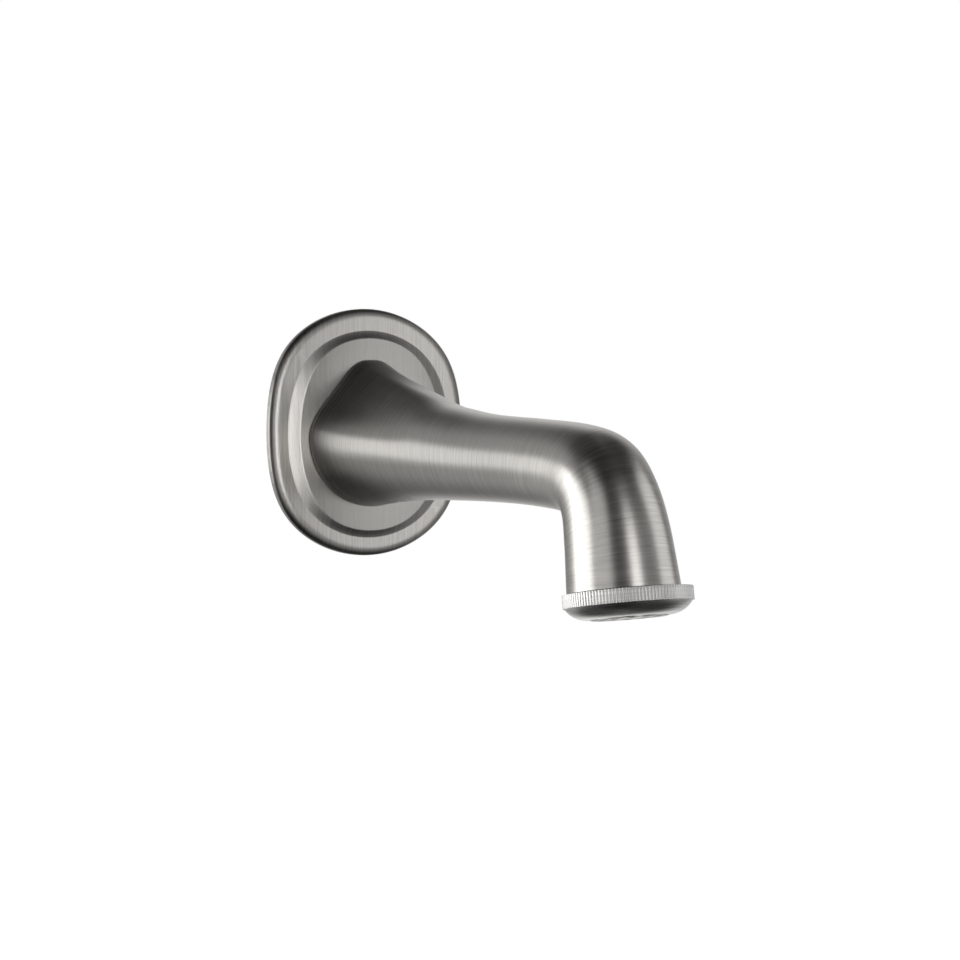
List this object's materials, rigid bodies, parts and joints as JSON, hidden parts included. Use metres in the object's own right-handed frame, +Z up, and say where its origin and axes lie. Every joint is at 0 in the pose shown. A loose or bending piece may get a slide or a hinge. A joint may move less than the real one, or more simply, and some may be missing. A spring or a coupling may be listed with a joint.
{
  "type": "wall mounted bath spout",
  "caption": "Wall-mounted tub spout with a stepped wall plate, round with flattened sides, a flared body that turns down, and a knurled pull-down diverter ring at the outlet.",
  "frame": {"origin": "on the wall plane, on the axis of the supply pipe and the centre of the wall plate", "axes": "+Z up, the wall plane is XZ, +Y into the wall, and the spout reaches along -Y"},
  "size_m": [0.0896, 0.204, 0.115],
  "materials": {
    "brushed_nickel": "satin brushed nickel plate",
    "brass": "machined",
    "steel": "plain stainless",
    "rubber": "matte nitrile",
    "foam": "closed-cell foam",
    "fibre": "pressed fibre",
    "acetal": "moulded"
  },
  "bodies": {
    "body": {"wall_gasket": "foam", "escutcheon": "brushed_nickel", "escutcheon_o_ring": "rubber", "plate_screw_left": "steel", "plate_screw_right": "steel", "spout_body": "brushed_nickel", "inlet_adapter": "brass", "inlet_washer": "fibre", "adapter_o_ring_rear": "rubber", "adapter_o_ring_front": "rubber", "set_screw": "steel", "diverter_seat": "brass", "sleeve_o_ring": "rubber", "return_spring": "steel"},
    "diverter": {"diverter_stem": "steel", "diverter_poppet": "brass", "poppet_seal": "rubber", "stem_clip": "steel", "guide_sleeve": "brushed_nickel", "flow_straightener": "acetal", "outlet_grille": "brushed_nickel", "ring_clip": "steel"},
    "ring": {"diverter_ring": "brushed_nickel"}
  },
  "joints": [
    {"name": "diverter_pull", "type": "slide", "parent": "body", "child": "diverter", "axis": [0, -0.1478, -0.989], "range_m": [0, 0.006], "stiffness_N_per_m": 400, "springref_m": -0.004, "deforming": ["return_spring"]},
    {"name": "ring_turn", "type": "hinge", "parent": "diverter", "child": "ring", "pos_m": [0, -0.1811, -0.0536], "axis": [0, -0.1478, -0.989], "continuous": true}
  ]
}
